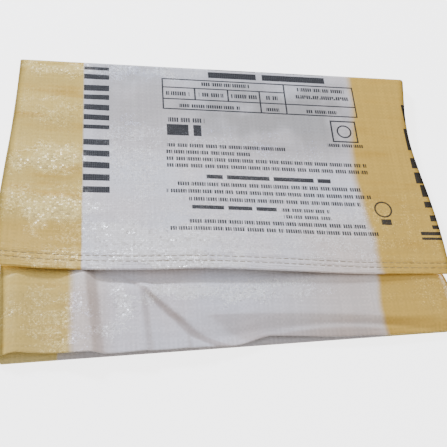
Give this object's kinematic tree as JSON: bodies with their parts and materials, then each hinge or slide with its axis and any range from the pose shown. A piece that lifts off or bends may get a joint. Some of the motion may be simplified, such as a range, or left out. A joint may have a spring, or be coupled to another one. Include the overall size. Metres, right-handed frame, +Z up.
{
  "type": "empty cement bag",
  "caption": "Empty woven-plastic cement sack, folded once across, its sewn hem lying on top and its open mouth reaching out below.",
  "frame": {"origin": "on the floor, under the middle of the folded sack", "axes": "+X along the sewn hem, +Y from the mouth towards the fold, +Z up from the floor"},
  "size_m": [0.5272, 0.4124, 0.0176],
  "materials": {
    "sack": "laminated woven polypropylene tape, pale grey-white panel with straw-coloured side bands, satin gloss",
    "thread": "twisted sewing thread, matt straw colour"
  },
  "bodies": {
    "root": {"sack": "sack", "stitch_row_outer": "thread", "stitch_row_inner": "thread"}
  },
  "joints": []
}
